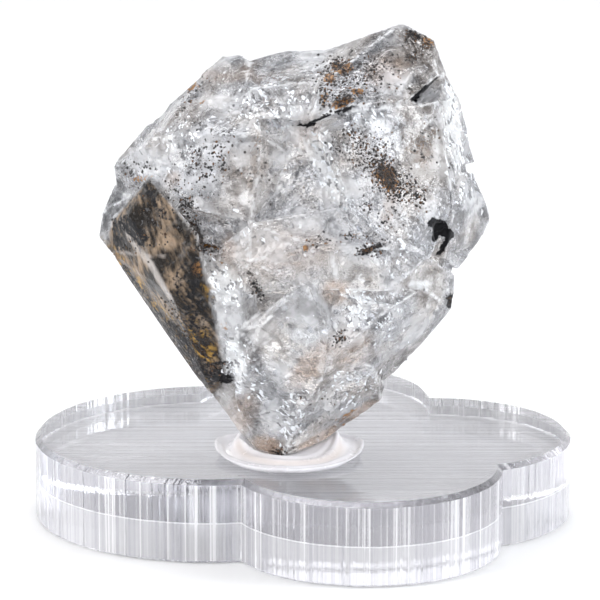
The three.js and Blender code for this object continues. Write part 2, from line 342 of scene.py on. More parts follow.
def clear_acrylic():
    material, tree, out = new_material("clear_acrylic")
    place = node(tree, "ShaderNodeTexCoord")
    facing = node(tree, "ShaderNodeSeparateXYZ", {0: node(tree, "ShaderNodeNewGeometry").outputs["Normal"]})
    level = calc(tree, "GREATER_THAN", calc(tree, "ABSOLUTE", facing.outputs["Z"]), 0.9)
    high = node(tree, "ShaderNodeSeparateXYZ", {0: place.outputs["Object"]}).outputs["Z"]
    on_top = calc(tree, "MULTIPLY", level, calc(tree, "GREATER_THAN", high, PLATE_THICKNESS / 2))

    def streaks(scale):
        stretched = node(tree, "ShaderNodeMapping", {"Vector": place.outputs["Object"], "Scale": scale})
        return node(tree, "ShaderNodeTexNoise",
                    {"Vector": stretched.outputs[0], "Scale": 1.0, "Detail": 4.0}).outputs[0]

    across_top = calc(tree, "MULTIPLY", streaks((9, 620, 60)), calc(tree, "MULTIPLY", on_top, 0.9))
    on_wall = calc(tree, "MULTIPLY_ADD", level, -2.2, 2.2)
    down_wall = calc(tree, "MULTIPLY", streaks((1000, 1000, 8)), on_wall)
    lines = calc(tree, "ADD", across_top, down_wall)
    bump = node(tree, "ShaderNodeBump", {"Height": lines, "Strength": 0.07, "Distance": 0.001})
    wall = calc(tree, "LESS_THAN", calc(tree, "ABSOLUTE", facing.outputs["Z"]), WALL_SLOPE)
    coarse = streaks((420, 420, 3))
    fine = streaks((1900, 1900, 6))
    saw = calc(tree, "MULTIPLY_ADD", coarse, 0.4, calc(tree, "MULTIPLY", fine, 0.6))
    # Painted shade: grey strips on the sawn wall for the darker view through it
    dark = node(tree, "ShaderNodeMapRange", {"Value": saw, "From Min": 0.46, "From Max": 0.60}).outputs[0]
    dark = calc(tree, "MULTIPLY", dark, wall)
    frost = node(tree, "ShaderNodeMapRange", {"Value": saw, "From Min": 0.475, "From Max": 0.40}).outputs[0]
    low_pass = calc(tree, "MULTIPLY", calc(tree, "LESS_THAN", high, SECOND_CUT), 0.5)
    from_seam = calc(tree, "ABSOLUTE", calc(tree, "SUBTRACT", high, SECOND_CUT))
    seam = calc(tree, "LESS_THAN", from_seam, SEAM_HALF)
    frost = calc(tree, "MAXIMUM", frost, calc(tree, "MAXIMUM", low_pass, seam))
    frost = calc(tree, "MULTIPLY", frost, wall)
    tint = node(tree, "ShaderNodeMix", {0: dark, 6: (0.985, 0.985, 1.0, 1), 7: (0.70, 0.70, 0.74, 1)},
                data_type="RGBA")
    shader = node(tree, "ShaderNodeBsdfPrincipled",
                  {"Base Color": tint.outputs[2], "Roughness": calc(tree, "MULTIPLY_ADD", dark, 0.1, 0.015),
                   "IOR": 1.49, "Transmission Weight": calc(tree, "MULTIPLY_ADD", frost, -FROST_LOSS, 1.0),
                   "Normal": bump.outputs[0]})
    volume = node(tree, "ShaderNodeVolumeAbsorption", {"Color": (0.88, 0.865, 0.93, 1), "Density": 5.0})
    tree.links.new(shader.outputs[0], out.inputs["Surface"])
    tree.links.new(volume.outputs[0], out.inputs["Volume"])
    return material


acrylic = clear_acrylic()
carrier = mesh_object("carrier", [(0, 0, 0)], [])
plate = grown(plate_tree(acrylic), carrier, {"Seed": 4}, "acrylic_plate")
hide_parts("acrylic_stand")
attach(plate, "root")
print("plate", len(plate.data.polygons), "faces", [round(v * 1000, 1) for v in plate.dimensions])

# %% [markdown]
# ## The crystal's body
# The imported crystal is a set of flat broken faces. On the real one each face is itself broken into
# small terraces, so the copy is rebuilt as an even mesh of small faces, pulled back on to the flat
# faces so that its edges stay sharp, and then every small Voronoi cell of it is tilted a little, as
# a flake comes off a glassy stone. All relief goes inwards, so that the outline keeps its size.

# %% An even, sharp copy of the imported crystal
ROCK_VOXEL = 0.5 * MM


def merged_copy(node_name, name):
    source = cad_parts[node_name]
    work = bmesh.new()
    work.from_mesh(source.data)
    bmesh.ops.remove_doubles(work, verts=work.verts, dist=2e-6)
    mesh = bpy.data.meshes.new(name)
    work.to_mesh(mesh)
    work.free()
    made = bpy.data.objects.new(name, mesh)
    bpy.context.scene.collection.objects.link(made)
    return made


def remeshed(piece, voxel):
    modifier = piece.modifiers.new("even", "REMESH")
    modifier.mode = "VOXEL"
    modifier.voxel_size = voxel
    depsgraph = bpy.context.evaluated_depsgraph_get()
    mesh = bpy.data.meshes.new_from_object(piece.evaluated_get(depsgraph))
    piece.modifiers.remove(modifier)
    piece.data = mesh
    return piece


def vertex_array(mesh):
    flat = np.empty(len(mesh.vertices) * 3)
    mesh.vertices.foreach_get("co", flat)
    return flat.reshape(-1, 3)


def normal_array(mesh):
    flat = np.empty(len(mesh.vertices) * 3)
    mesh.vertex_normals.foreach_get("vector", flat)
    return flat.reshape(-1, 3)


def place_vertices(mesh, places):
    mesh.vertices.foreach_set("co", places.reshape(-1))
    mesh.update()


rock = merged_copy("quartz_crystal", "quartz_crystal_body")
surface = BVHTree.FromPolygons([v.co for v in rock.data.vertices],
                               [tuple(p.vertices) for p in rock.data.polygons])
SHARP = math.radians(22)  # two flat faces meet where they turn by more than this
EDGE_STEP = 0.3 * MM


def sharp_edge_points(piece):
    """Points along every edge of the piece where two of its flat faces meet."""
    work = bmesh.new()
    work.from_mesh(piece.data)
    found = []
    for edge in work.edges:
        if len(edge.link_faces) == 2 and edge.calc_face_angle() > SHARP:
            a, b = (v.co.copy() for v in edge.verts)
            steps = max(1, int((b - a).length / EDGE_STEP))
            found += [a.lerp(b, i / steps) for i in range(steps + 1)]
    work.free()
    return found


def facet_reflection_tone(normal):
    """A number from 0 to 1 that is the same all over one flat face and differs between faces, for a painted
    reflection.
    """
    key = [round(value * 9) for value in normal]
    return (math.sin(key[0] * 12.99 + key[1] * 78.23 + key[2] * 37.72) * 43758.5) % 1.0


edge_points = sharp_edge_points(rock)
edge_finder = KDTree(len(edge_points))
for index, point in enumerate(edge_points):
    edge_finder.insert(point, index)
edge_finder.balance()

remeshed(rock, ROCK_VOXEL)
places = vertex_array(rock.data)
nearest_faces = [surface.find_nearest(Vector(p)) for p in places]
snapped = np.array([hit[0] for hit in nearest_faces])
tone = np.array([facet_reflection_tone(hit[1]) for hit in nearest_faces])
edge_distance = np.array([edge_finder.find(Vector(p))[2] for p in snapped]) / MM
place_vertices(rock.data, snapped)
print("crystal", len(rock.data.vertices), "vertices")

# %% [markdown]
# ### Where things are on the crystal
# Stains, veils and specks are placed as they show from the front: across and up, in millimetres,
# in the upright plane through the putty. The same eye that set the camera turns any point of the
# mesh into that plane, so a mark is one short line of numbers.

# %% Places as seen from the front
FRONT_PLANE = -15.9 * MM


def as_seen(points):
    """Across and up in millimetres in the front plane, and how far behind it each point is."""
    points = np.asarray(points, float)
    eye = np.array(EYE)
    reach = (FRONT_PLANE - eye[1]) / (points[:, 1] - eye[1])
    seen = eye + (points - eye) * reach[:, None]
    return seen[:, 0] / MM, seen[:, 2] / MM, (points[:, 1] - FRONT_PLANE) / MM


def soft_step(value, low, high):
    share = np.clip((value - low) / (high - low), 0, 1)
    return share * share * (3 - 2 * share)


def spot(across, up, centre, size, turn=0.0, edge=0.5):
    """1 inside a soft ellipse and 0 outside, turned by turn degrees."""
    c, s = math.cos(math.radians(turn)), math.sin(math.radians(turn))
    x, y = across - centre[0], up - centre[1]
    far = np.hypot((c * x + s * y) / size[0], (-s * x + c * y) / size[1])
    return 1 - soft_step(far, 1 - edge, 1 + edge)


def band(across, up, start, stop, width, edge=0.5):
    """1 near the straight line from start to stop."""
    a, b = np.array(start, float), np.array(stop, float)
    p = np.stack([across, up], 1) - a
    share = np.clip(p @ (b - a) / ((b - a) @ (b - a)), 0, 1)
    far = np.linalg.norm(p - share[:, None] * (b - a), axis=1)
    return 1 - soft_step(far, width * (1 - edge), width * (1 + edge))


def inside(across, up, corners, edge=0.5):
    """1 inside a polygon, with a soft edge of that many millimetres."""
    ring = np.array(corners, float)
    within = np.zeros(len(across), bool)
    near = np.full(len(across), 1e9)
    for (x0, y0), (x1, y1) in zip(ring, np.roll(ring, -1, 0)):
        crosses = (y0 > up) != (y1 > up)
        slope = (x1 - x0) * (up - y0) / (y1 - y0 if y1 != y0 else 1e-9) + x0
        within ^= crosses & (across < slope)
        a, b = np.array([x0, y0]), np.array([x1, y1])
        p = np.stack([across, up], 1) - a
        share = np.clip(p @ (b - a) / ((b - a) @ (b - a)), 0, 1)
        near = np.minimum(near, np.linalg.norm(p - share[:, None] * (b - a), axis=1))
    return soft_step(np.where(within, near, -near), -edge, edge)


# %% [markdown]
# ### A noise that is the same on every run
# Nature's patches have no straight edges, so masks need a smooth noise. This one turns each corner
# of a grid into a number by a fixed sum and blends between the corners.

# %% Value noise for masks
def lattice_noise(points, size, seed):
    """Smooth noise from 0 to 1 with features of that size, the same on every run."""
    grid = points / size + seed * 17.31
    low = np.floor(grid).astype(np.int64)
    share = grid - low
    share = share * share * (3 - 2 * share)
    total = np.zeros(len(points))
    for corner in range(8):
        step = np.array([corner & 1, corner >> 1 & 1, corner >> 2 & 1])
        cell = low + step
        key = (cell[:, 0] * 73856093) ^ (cell[:, 1] * 19349663) ^ (cell[:, 2] * 83492791) ^ (seed * 2654435)
        key = (key ^ (key >> 13)) * 1274126177 & 0x7FFFFFFF
        value = ((key ^ (key >> 16)) & 0xFFFF) / 65535.0
        weight = np.prod(np.where(step == 1, share, 1 - share), axis=1)
        total += value * weight
    return total


# %% [markdown]
# ### Flakes and striations
# Three sizes of flake are cut: wide shallow ones that turn whole patches, and small ones that make
# the glitter where the stone is rough. Some faces stayed smooth, so a mask keeps the flakes off
# them. The smoky crystal grew with fine lines along its length instead.

# %% Break the surface into flakes
def flakes(points, size, tilt, seed):
    """How deep each point lies on its own tilted cell, from 0 down."""
    box_low, box_high = points.min(0) - size, points.max(0) + size
    counts = np.ceil((box_high - box_low) / size).astype(int)
    dice = np.random.default_rng(seed)
    grid = np.stack(np.meshgrid(*[np.arange(n) for n in counts], indexing="ij"), -1).reshape(-1, 3)
    seeds = box_low + (grid + dice.random(grid.shape)) * size
    facing = dice.normal(size=grid.shape)
    facing /= np.linalg.norm(facing, axis=1)[:, None]
    tree = KDTree(len(seeds))
    for index, place in enumerate(seeds):
        tree.insert(Vector(place), index)
    tree.balance()
    nearest = np.array([tree.find(Vector(p))[1] for p in points])
    away = points - seeds[nearest]
    height = np.einsum("ij,ij->i", away, facing[nearest]) * tilt
    return np.clip(height - size * tilt * 0.6, -size * tilt * 1.6, 0)


SMOKY_OUTLINE = [
    (-26.8, 65.1), (-24.2, 61.9), (-18.7, 54.9), (-18.0, 52.2), (-15.3, 39.2), (-13.7, 29.5),
    (-16.1, 25.0), (-19.5, 28.5), (-24, 35.5), (-34.4, 51.0), (-33.6, 57.2),
]
SMOOTH_PATCHES = [
    ((-12.0, 66.0), (7.5, 6.5), 20), ((-1.5, 36.0), (5.0, 8.5), 0), ((20.5, 38.5), (5.5, 3.5), 30),
    ((28.5, 56.0), (3.0, 4.0), 0), ((16.0, 85.0), (4.0, 3.5), 0),
]

surface_normals = normal_array(rock.data)
across, up, behind = as_seen(snapped)
front = 1 - soft_step(behind, 1.0, 5.0)
smoke = inside(across, up, SMOKY_OUTLINE, 0.4) * front
smooth = np.zeros(len(snapped))
for centre, size, turn in SMOOTH_PATCHES:
    smooth = np.maximum(smooth, spot(across, up, centre, size, turn, 0.25) * front)
clear_backs = soft_step(lattice_noise(snapped, 16 * MM, 14), 0.52, 0.62) * (1 - front)
smooth = np.maximum(smooth, clear_backs)
rough = (1 - smooth) * (1 - smoke)
patchy = soft_step(lattice_noise(snapped, 9 * MM, 3), 0.35, 0.65)

off_ridge = 0.25 + 0.75 * soft_step(edge_distance, 0.3, 2.0)
relief = flakes(snapped, 6.0 * MM, 0.12, 5) * (0.25 + 0.75 * rough) * off_ridge
relief += flakes(snapped, 2.4 * MM, 0.15, 6) * rough * (0.3 + 0.7 * patchy) * off_ridge
relief += flakes(snapped, 1.2 * MM, 0.14, 7) * rough * patchy * off_ridge
along_prism = across * 0.57 + up * -0.82
across_prism = across * 0.82 + up * 0.57
lines = np.sin(across_prism * 5.3 + 1.5 * np.sin(along_prism * 0.35)) * 0.5 - 0.5
relief += smoke * lines * 0.05 * MM
place_vertices(rock.data, snapped + surface_normals * relief[:, None])
print("relief down to mm", round(float(relief.min() / MM), 2))

# %% [markdown]
# ### Colour zones as attributes
# The colour zones follow the surface, so they are worked out once for each vertex and kept as
# attributes that the material reads: rust, milk (the cloudy white of tiny cracks), black film (the
# black mineral film in the cracks, and painted shadow in two open cracks), warm (a faint peach or
# brown tint), glitter (the roughest places), painted shade (darker stone where dark depth shows
# behind it) and gold (a yellow film low on the smoky crystal). A zone is a short row of numbers:
# where it is, how large, how far it is turned and how strong. A band of black film or painted crack
# shadow is a line from one place to another, with its half width and strength.

# %% Zones of colour
RUST_SPOTS = [
    ((6.6, 85.0), (1.9, 1.2), 0, 1.0), ((4.6, 82.9), (1.0, 1.1), 40, 1.0),
    ((9.5, 81.0), (1.3, 0.9), 0, 0.9), ((6.9, 78.7), (2.3, 1.0), 25, 1.0),
    ((3.7, 79.6), (0.8, 1.8), 0, 0.6), ((21.6, 89.4), (1.4, 0.6), -35, 0.9),
    ((0.5, 52.5), (0.6, 0.7), 0, 1.0), ((4.1, 53.3), (0.4, 0.4), 0, 0.8),
    ((9.3, 54.9), (0.5, 0.3), 0, 0.8), ((15.0, 65.2), (2.0, 3.4), 35, 0.8),
    ((-18.6, 48.6), (1.2, 1.5), -20, 0.6), ((-16.2, 52.8), (2.2, 0.4), -20, 0.8),
    ((-14.5, 49.6), (0.6, 0.4), 0, 0.7), ((-17.2, 33.4), (1.9, 1.3), -30, 0.65),
    ((-13.7, 38.2), (0.9, 0.7), 0, 0.5), ((7.8, 21.8), (2.4, 0.5), 35, 0.6),
    ((-28.5, 64.8), (2.0, 0.7), 10, 0.45), ((-19.6, 81.3), (1.3, 0.3), 45, 0.8),
    ((-17.6, 78.8), (0.4, 0.5), 0, 0.8), ((8.0, 20.0), (1.4, 0.4), 20, 0.5),
]
# Black mineral film; the bands from (0.9, 74.5) to (8.8, 77.9) and from (19.2, 78.9) to (23.4, 82.7) are
# painted shadow in two open cracks
BLACK_FILM_AND_SHADE_BANDS = [
    ((-31.5, 48.5), (-24.0, 37.5), 1.1, 0.55), ((-23.5, 38.0), (-17.0, 28.5), 1.7, 0.6),
    ((-31.2, 57.0), (-28.4, 54.2), 1.5, 0.62), ((-26.5, 62.5), (-24.5, 58.5), 1.0, 0.45),
    ((-21.5, 44.0), (-18.5, 36.0), 0.7, 0.5), ((0.9, 74.5), (4.6, 76.4), 0.42, 1.0),
    ((4.6, 76.4), (8.8, 77.9), 0.25, 0.9), ((-2.0, 74.6), (0.7, 74.4), 0.14, 0.7),
    ((19.2, 78.9), (21.6, 81.2), 0.30, 1.0), ((21.6, 81.2), (23.4, 82.7), 0.16, 0.9),
    ((18.6, 91.2), (20.3, 90.0), 0.3, 0.8), ((18.2, 87.0), (19.4, 86.6), 0.3, 0.6),
    ((10.6, 51.7), (13.6, 53.2), 0.42, 0.9), ((9.6, 51.3), (11.2, 51.8), 0.8, 0.45),
    ((-9.9, 48.4), (-6.6, 41.9), 0.5, 0.42), ((-8.8, 46.6), (-7.6, 43.6), 0.3, 0.6),
    ((-16.8, 31.3), (-13.8, 31.8), 0.30, 1.0), ((-15.9, 29.6), (-13.4, 28.6), 0.9, 0.8),
    ((26.1, 43.9), (25.8, 42.0), 0.4, 0.9), ((7.0, 37.8), (6.6, 35.8), 0.6, 0.4),
    ((-27.6, 63.9), (-25.9, 60.4), 0.5, 0.6), ((-33.0, 57.3), (-32.0, 52.5), 0.8, 0.5),
    ((-4.0, 14.9), (-5.5, 15.4), 0.3, 0.7), ((22.8, 57.1), (24.4, 56.6), 0.85, 1.0),
    ((23.8, 56.0), (25.7, 54.8), 0.95, 1.0), ((23.4, 55.4), (23.2, 54.2), 0.5, 1.0),
    ((25.6, 54.2), (23.8, 51.4), 0.45, 1.0),
]
MILK_SPOTS = [
    ((3.9, 66.5), (1.2, 7.5), 20, 1.0), ((11.2, 43.2), (5.4, 0.6), -12, 1.0),
    ((20.8, 45.9), (2.0, 0.7), 5, 1.0), ((26.6, 74.0), (1.3, 9.0), 5, 0.85),
    ((-14.0, 45.0), (2.6, 3.8), 20, 0.8), ((-11.7, 31.0), (1.5, 6.0), 8, 0.9),
    ((-4.5, 21.5), (3.0, 3.0), 0, 0.7), ((-24.0, 70.5), (4.5, 2.0), 40, 0.5),
    ((12.5, 74.5), (3.5, 1.6), 0, 0.6), ((-9.5, 60.5), (3.0, 2.0), 0, 0.3),
    ((30.0, 60.0), (1.6, 3.0), 0, 0.6), ((9.8, 40.5), (1.8, 2.4), -30, 0.8),
    ((-27.0, 66.2), (2.5, 1.0), 10, 0.8), ((-4.0, 76.5), (4.5, 1.4), 15, 0.6),
    ((1.0, 70.0), (0.5, 3.5), 20, 0.8), ((5.5, 49.0), (0.5, 2.4), 10, 0.9),
    ((-21.0, 55.0), (1.0, 1.2), 0, 0.4),
]
WARM_SPOTS = [
    ((5.7, 44.5), (2.3, 2.0), 0, 1.0), ((-3.5, 51.5), (9.0, 4.5), 5, 0.42),
    ((1.5, 31.5), (5.5, 2.2), 50, 0.55), ((-13.0, 52.0), (1.3, 2.5), 0, 0.7),
    ((14.5, 84.5), (3.5, 3.0), 0, 0.45), ((-12.0, 83.5), (6.0, 1.0), 0, 0.4),
    ((1.0, 73.0), (2.5, 3.0), 0, 0.4), ((-23.0, 65.0), (1.4, 1.2), 0, 0.6),
    ((8.0, 34.0), (4.0, 4.0), 0, 0.4), ((21.5, 69.0), (1.6, 2.2), 0, 0.35),
    ((15.5, 60.0), (1.2, 3.5), -15, 0.5), ((-6.5, 16.4), (3.0, 1.2), -20, 1.0),
    ((3.6, 17.6), (4.6, 0.9), 25, 0.9), ((10.5, 22.6), (3.6, 0.8), 28, 1.0),
    ((-11.5, 22.0), (2.6, 4.6), -30, 0.6), ((-19.0, 36.0), (1.2, 3.0), 30, 0.3),
]
GLITTER_SPOTS = [
    ((-14.0, 45.0), (3.0, 4.2), 20, 1.0), ((-11.6, 31.0), (1.8, 6.4), 8, 1.0),
    ((-2.0, 22.0), (2.6, 5.5), -20, 1.0), ((-8.5, 28.0), (2.0, 4.0), 20, 0.7),
    ((9.6, 40.8), (2.6, 3.0), -20, 1.0), ((16.5, 38.0), (3.6, 2.6), 0, 0.8),
    ((-6.0, 77.5), (7.5, 4.0), 10, 0.8), ((4.2, 67.0), (2.2, 7.0), 20, 0.8),
    ((27.0, 71.0), (2.0, 11.0), 8, 0.9), ((11.0, 75.0), (4.5, 2.0), 10, 0.6),
    ((-21.0, 72.5), (6.0, 3.0), 42, 0.6), ((-9.0, 57.0), (4.0, 3.0), 0, 0.4),
    ((12.0, 43.5), (6.0, 1.2), -10, 0.9), ((9.0, 26.5), (4.0, 4.0), 30, 0.7),
    ((-23.0, 58.0), (1.6, 1.6), 0, 0.5), ((17.0, 51.5), (4.0, 4.0), 0, 0.5),
]
# Painted shade: darker stone where dark depth shows behind it
PAINTED_SHADE_SPOTS = [
    ((-2.5, 51.5), (12.0, 16.0), 0, 0.24), ((-0.5, 82.2), (3.2, 3.2), 0, 0.35),
    ((-7.0, 54.0), (4.0, 3.6), 0, 0.4), ((0.0, 54.0), (4.5, 3.0), 0, 0.4),
    ((13.6, 67.8), (3.0, 5.0), 30, 0.25), ((-15.0, 76.0), (5.0, 1.6), -25, 0.25),
    ((3.0, 41.0), (3.0, 6.0), 0, 0.2),
]
GOLD_SPOTS = [
    ((-18.6, 36.4), (4.2, 1.6), -57, 0.85), ((-17.6, 33.2), (1.8, 1.2), -20, 0.9),
    ((-25.6, 39.8), (13.5, 1.7), -56, 0.9), ((-16.4, 44.6), (0.7, 2.6), 20, 0.5),
]

# %% [markdown]
# ### Paint the zones on the vertices
# The photo shows the front alone, so the zones fade out behind it and noise takes over: patches of
# milk, glitter and rust of the same kind go on round the back. Smoke keeps the glitter off and
# thins the milk, since the smoky crystal is whole and not shattered.

# %% Zones painted on the vertices
def painted(spots):
    """The strongest of a list of soft ellipses at each vertex."""
    total = np.zeros(len(snapped))
    for centre, size, turn, strength in spots:
        total = np.maximum(total, spot(across, up, centre, size, turn, 0.45) * strength * front)
    return total


rust, milk, warm = painted(RUST_SPOTS), painted(MILK_SPOTS), painted(WARM_SPOTS)
back_glitter = soft_step(lattice_noise(snapped, 7 * MM, 33), 0.5, 0.8) * (1 - front)
back_milk = soft_step(lattice_noise(snapped, 10 * MM, 41), 0.62, 0.85) * (1 - front)
milk = np.maximum(milk, 0.7 * back_milk)
glitter = np.maximum(painted(GLITTER_SPOTS), 0.8 * back_glitter) * (1 - smoke)
black_film_and_shade = np.zeros(len(snapped))
for start, stop, width, strength in BLACK_FILM_AND_SHADE_BANDS:
    black_film_and_shade = np.maximum(black_film_and_shade, band(across, up, start, stop, width) * strength * front)
back_rust = soft_step(lattice_noise(snapped, 8 * MM, 21), 0.74, 0.92) * (1 - front)
rust = np.maximum(rust, 0.6 * back_rust)
edge_rust = band(across, up, (-33.0, 50.8), (-18.0, 28.5), 1.0) * smoke
rust = np.maximum(rust, 0.5 * edge_rust)
# A paler streak on the smoky crystal: thinner smoke and a painted highlight
THIN_SMOKE_AND_HIGHLIGHT = [(-32.2, 57.8), (-29.4, 53.6), (-26.4, 50.0), (-22.8, 43.2), (-23.6, 43.0),
          (-27.4, 49.4), (-30.8, 54.0)]
DUSK = [(-24.0, 50.5), (-18.6, 51.0), (-15.5, 39.0), (-14.0, 30.0), (-17.0, 27.0), (-22.5, 38.5)]
black_film_and_shade = np.maximum(black_film_and_shade, 0.42 * inside(across, up, DUSK, 1.5) * smoke)
thin_smoke_and_highlight = inside(across, up, THIN_SMOKE_AND_HIGHLIGHT, 0.25)
thin_smoke_and_highlight = np.maximum(0.62 * thin_smoke_and_highlight, 0.4 * band(across, up, (-33.0, 51.8), (-24.5, 51.0), 0.22))
smoke = smoke * (1 - 0.25 * thin_smoke_and_highlight)
milk = milk * (1 - 0.7 * smoke)
ZONES = {"smoke": smoke, "rust": rust, "milk": milk, "black_film_and_shade": black_film_and_shade, "warm": warm, "smooth": smooth,
         "thin_smoke_and_highlight": thin_smoke_and_highlight, "glitter": glitter, "tone": tone, "gold": painted(GOLD_SPOTS),
         "painted_shade": painted(PAINTED_SHADE_SPOTS), "edge": 1 - soft_step(edge_distance, 0.15, 0.7)}
for title, values in ZONES.items():
    layer = rock.data.attributes.new(title, "FLOAT", "POINT")
    layer.data.foreach_set("value", values)
    print(title, round(float(values.mean()), 3))

# %% [markdown]
# ### Quartz: short ways to build its tree
# Quartz is clear: transmission with an index of 1.544 and a faint absorption. What follows decides
# where it isn't. The sums below all work on the sockets of the one quartz tree, so each step of
# the look stays a line or two long.

# %% Short ways to build the quartz tree
quartz, quartz_tree, quartz_out = new_material("quartz")
stone_place = node(quartz_tree, "ShaderNodeTexCoord").outputs["Object"]


def times(*values):
    """All the values multiplied, from the left."""
    result = values[0]
    for value in values[1:]:
        result = calc(quartz_tree, "MULTIPLY", result, value)
    return result


def most(*values):
    """The largest of the values."""
    result = values[0]
    for value in values[1:]:
        result = calc(quartz_tree, "MAXIMUM", result, value)
    return result


def scaled(value, factor, shift):
    return calc(quartz_tree, "MULTIPLY_ADD", value, factor, shift)


def rest_of(value):
    return calc(quartz_tree, "SUBTRACT", 1.0, value)


def clamped(value):
    return node(quartz_tree, "ShaderNodeClamp", {"Value": value}).outputs[0]


def zone(name):
    return node(quartz_tree, "ShaderNodeAttribute", attribute_name=name).outputs["Fac"]


def noise(scale, detail=3.0, vector=stone_place, output=0):
    return node(quartz_tree, "ShaderNodeTexNoise",
                {"Vector": vector, "Scale": scale, "Detail": detail}).outputs[output]


def stepped(value, low, high):
    """0 at low and 1 at high, with a soft step between."""
    return node(quartz_tree, "ShaderNodeMapRange", {"Value": value, "From Min": low, "From Max": high},
                interpolation_type="SMOOTHSTEP").outputs[0]


def blend(share, low, high):
    """From the colour low to the colour high; each is a socket or three numbers."""
    mixed = node(quartz_tree, "ShaderNodeMix", {0: share}, data_type="RGBA")
    for socket, colour in ((6, low), (7, high)):
        if isinstance(colour, bpy.types.NodeSocket):
            quartz_tree.links.new(colour, mixed.inputs[socket])
        else:
            mixed.inputs[socket].default_value = (*colour, 1)
    return mixed.outputs[2]


def shifted(base, colour, reach):
    """A place moved by up to reach, in metres, as a noise colour says."""
    return node(quartz_tree, "ShaderNodeVectorMath", {0: colour, 1: (reach, reach, reach), 2: base},
                operation="MULTIPLY_ADD").outputs[0]


def stretched(vector, turn, size):
    """Places for a pattern whose features have that turn and size."""
    return node(quartz_tree, "ShaderNodeMapping", {"Vector": vector, "Rotation": turn, "Scale": size},
                vector_type="TEXTURE").outputs[0]


# %% [markdown]
# ### Quartz: zones with ragged edges
# On the real stone a stain ends at a crack and not in a blur, so a grain breaks up the soft edge of
# each zone that was kept on the vertices. Plain is the share of the broken look that a place gets:
# most where the stone glitters, least on the smooth faces.

# %% Masks from the zones
wide_grain, fine_grain = noise(620), noise(1600)


def ragged(mask, grain, amount):
    """The mask with its edge broken up by a grain."""
    shift = times(calc(quartz_tree, "SUBTRACT", grain, 0.5), amount)
    touched = calc(quartz_tree, "GREATER_THAN", mask, 0.02)
    return clamped(calc(quartz_tree, "ADD", mask, times(shift, touched)))


smoke_mask = ragged(zone("smoke"), wide_grain, 0.4)
rust_mask = stepped(ragged(zone("rust"), fine_grain, 2.2), 0.35, 0.75)
milk_mask = ragged(zone("milk"), wide_grain, 1.2)
black_film_and_shade_mask = stepped(ragged(zone("black_film_and_shade"), fine_grain, 1.6), 0.3, 0.6)
broken = scaled(ragged(zone("glitter"), wide_grain, 1.2), 0.55, 0.45)
plain = times(broken, rest_of(times(zone("smooth"), 0.95)))
print("masks take", len(quartz_tree.nodes), "nodes")

# %% [markdown]
# ### Quartz: the grain of broken faces
# Where quartz is full of tiny cracks it turns white. Three patterns make that white: a sugary grit,
# thin crack lines between Voronoi cells, and fine fibres that run across the faces; glinting cells
# add painted glints to it. The milk zones and the edges between two flat faces are white as well,
# and smoke hides most of it.

# %% White of tiny cracks
bend = noise(260, output="Color")
swayed = shifted(stone_place, bend, 0.0028)
cells = node(quartz_tree, "ShaderNodeTexVoronoi", {"Vector": swayed, "Scale": 330},
             feature="DISTANCE_TO_EDGE")
crack = times(stepped(cells.outputs["Distance"], 0.022, 0.0), stepped(noise(320), 0.52, 0.66))
fine_cells = node(quartz_tree, "ShaderNodeTexVoronoi", {"Vector": swayed, "Scale": 1050})
glint = stepped(fine_cells.outputs["Color"], 0.72, 0.86)
grit = stepped(noise(1900), 0.5, 0.68)
turned = node(quartz_tree, "ShaderNodeMapping",
              {"Vector": swayed, "Rotation": (0.3, 0.9, 0.2), "Scale": (2600, 900, 330)})
fibre = stepped(noise(1.0, 3.0, turned.outputs[0]), 0.56, 0.74)
patch = stepped(noise(150), 0.4, 0.62)

white = times(most(grit, times(fibre, 0.8)), patch)
# Glinting cells: painted glints in the white
white = most(white, times(patch, 0.8, glint))
white = times(most(times(white, 0.75), crack), plain)
white = most(white, milk_mask, times(stepped(noise(110, 2.0), 0.46, 0.62), 0.45))
edge_white = times(zone("edge"), stepped(noise(520), 0.42, 0.6))
white = times(most(white, times(edge_white, 0.85)), rest_of(times(smoke_mask, 0.7)))
print("with the white", len(quartz_tree.nodes), "nodes")

# %% [markdown]
# ### Quartz: tones of the clear and the smoky stone
# A clear broken stone shows a patchwork of light and dark, since each face throws back another
# part of the room. The render makes some of it by itself; the rest is painted reflection, a tone for
# each flat face, and that tone is cold in some patches and earthy in others. The smoky crystal is
# dark brown with fine lines along its length, and one paler streak where the smoke is thinner and
# a highlight is painted.

# %% Tones
chips = node(quartz_tree, "ShaderNodeTexVoronoi", {"Vector": swayed, "Scale": 620})
shade = scaled(chips.outputs["Color"], 0.35, stepped(noise(420), 0.36, 0.6))
shade = clamped(calc(quartz_tree, "ADD", shade, scaled(zone("tone"), 1.0, -0.62)))
cold = blend(shade, (0.25, 0.26, 0.28), (0.94, 0.96, 1.0))
earthy = blend(shade, (0.30, 0.25, 0.215), (0.98, 0.94, 0.90))
grey = blend(stepped(noise(95), 0.42, 0.60), cold, earthy)
base = blend(ragged(zone("warm"), wide_grain, 0.6), grey, (0.80, 0.57, 0.42))
colour = blend(white, base, (0.965, 0.98, 1.0))
# Painted shade where dark depth shows behind the stone
colour = blend(ragged(zone("painted_shade"), wide_grain, 0.5), colour, (0.34, 0.33, 0.325))

PRISM_TURN = -0.61  # how far the smoky crystal's length leans from upright
growth = stretched(shifted(stone_place, bend, 0.0007), (0, PRISM_TURN, 0), (0.0009, 0.0009, 0.012))
growth_lines = scaled(noise(1.0, 3.0, growth), 0.4, times(noise(170, 4.0), 0.6))
smoke_tone = blend(stepped(growth_lines, 0.43, 0.66), (0.012, 0.009, 0.007), (0.37, 0.27, 0.185))
# The paler streak: a painted highlight
smoke_tone = blend(ragged(zone("thin_smoke_and_highlight"), wide_grain, 0.9), smoke_tone, (0.56, 0.50, 0.46))
colour = blend(smoke_mask, colour, smoke_tone)
print("with the tones", len(quartz_tree.nodes), "nodes")

